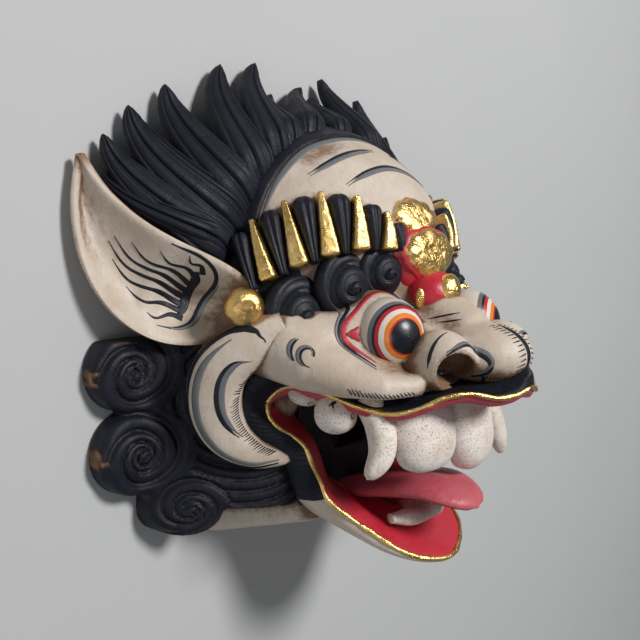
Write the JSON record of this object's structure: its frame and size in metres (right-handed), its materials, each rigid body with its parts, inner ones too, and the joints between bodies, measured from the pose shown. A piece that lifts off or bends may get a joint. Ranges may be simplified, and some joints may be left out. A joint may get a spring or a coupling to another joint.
{
  "type": "barong mask",
  "caption": "Carved and painted barong mask with flame hair, winged ears, bulging eyes, open jaw, fangs and tongue; hollow behind to wear or hang.",
  "frame": {"origin": "middle of the bounding box, on the plane of the back rim the mask lies on", "axes": "+X across the face towards the mask's own left ear, +Y up towards the hair, +Z out of the face"},
  "size_m": [0.3348, 0.2778, 0.1624],
  "materials": {
    "painted_wood": "satin paint over carved wood",
    "teeth": "pitted matt white",
    "tongue": "satin pink paint"
  },
  "bodies": {
    "root": {"mask_block": "painted_wood", "upper_teeth": "teeth", "tongue": "tongue"}
  },
  "joints": []
}
